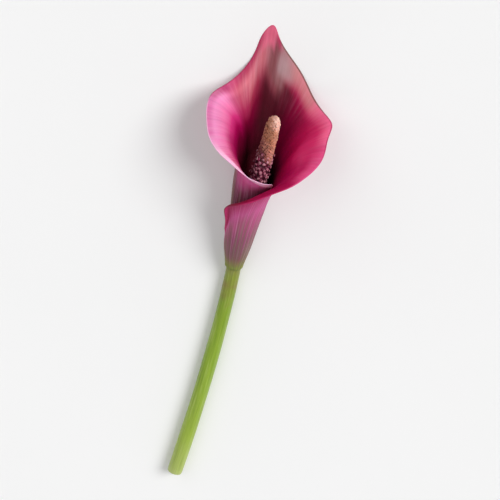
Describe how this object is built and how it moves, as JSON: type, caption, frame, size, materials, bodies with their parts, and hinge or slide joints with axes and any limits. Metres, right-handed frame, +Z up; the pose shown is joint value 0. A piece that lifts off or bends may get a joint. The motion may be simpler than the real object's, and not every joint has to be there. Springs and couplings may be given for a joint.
{
  "type": "arum lily flower",
  "caption": "Single cut arum lily (calla) flower lying on its back: a rolled, flared spathe round a finger-like spadix, on a short smooth stem.",
  "frame": {"origin": "on the surface that the flower lies on, under the middle of its bounding box", "axes": "+Z up from the surface, -Y towards the tip of the spathe, +Y towards the cut end of the stem, -X to the right of someone who looks into the mouth with the tip away from them"},
  "size_m": [0.0674, 0.2704, 0.0405],
  "materials": {
    "spathe": "living petal tissue, satin; bright pink to crimson inside with a near-black maroon throat, fine lengthwise veins, dull pink-purple fading to olive outside",
    "spadix": "packed florets, matt peach-tan above, dark purple with pale pink round stigmas below",
    "stem": "smooth fleshy yellow-green stalk, satin, faint lengthwise streaks, pale moist cut end"
  },
  "bodies": {
    "root": {"spathe": "spathe", "spadix": "spadix", "stem": "stem"}
  },
  "joints": []
}
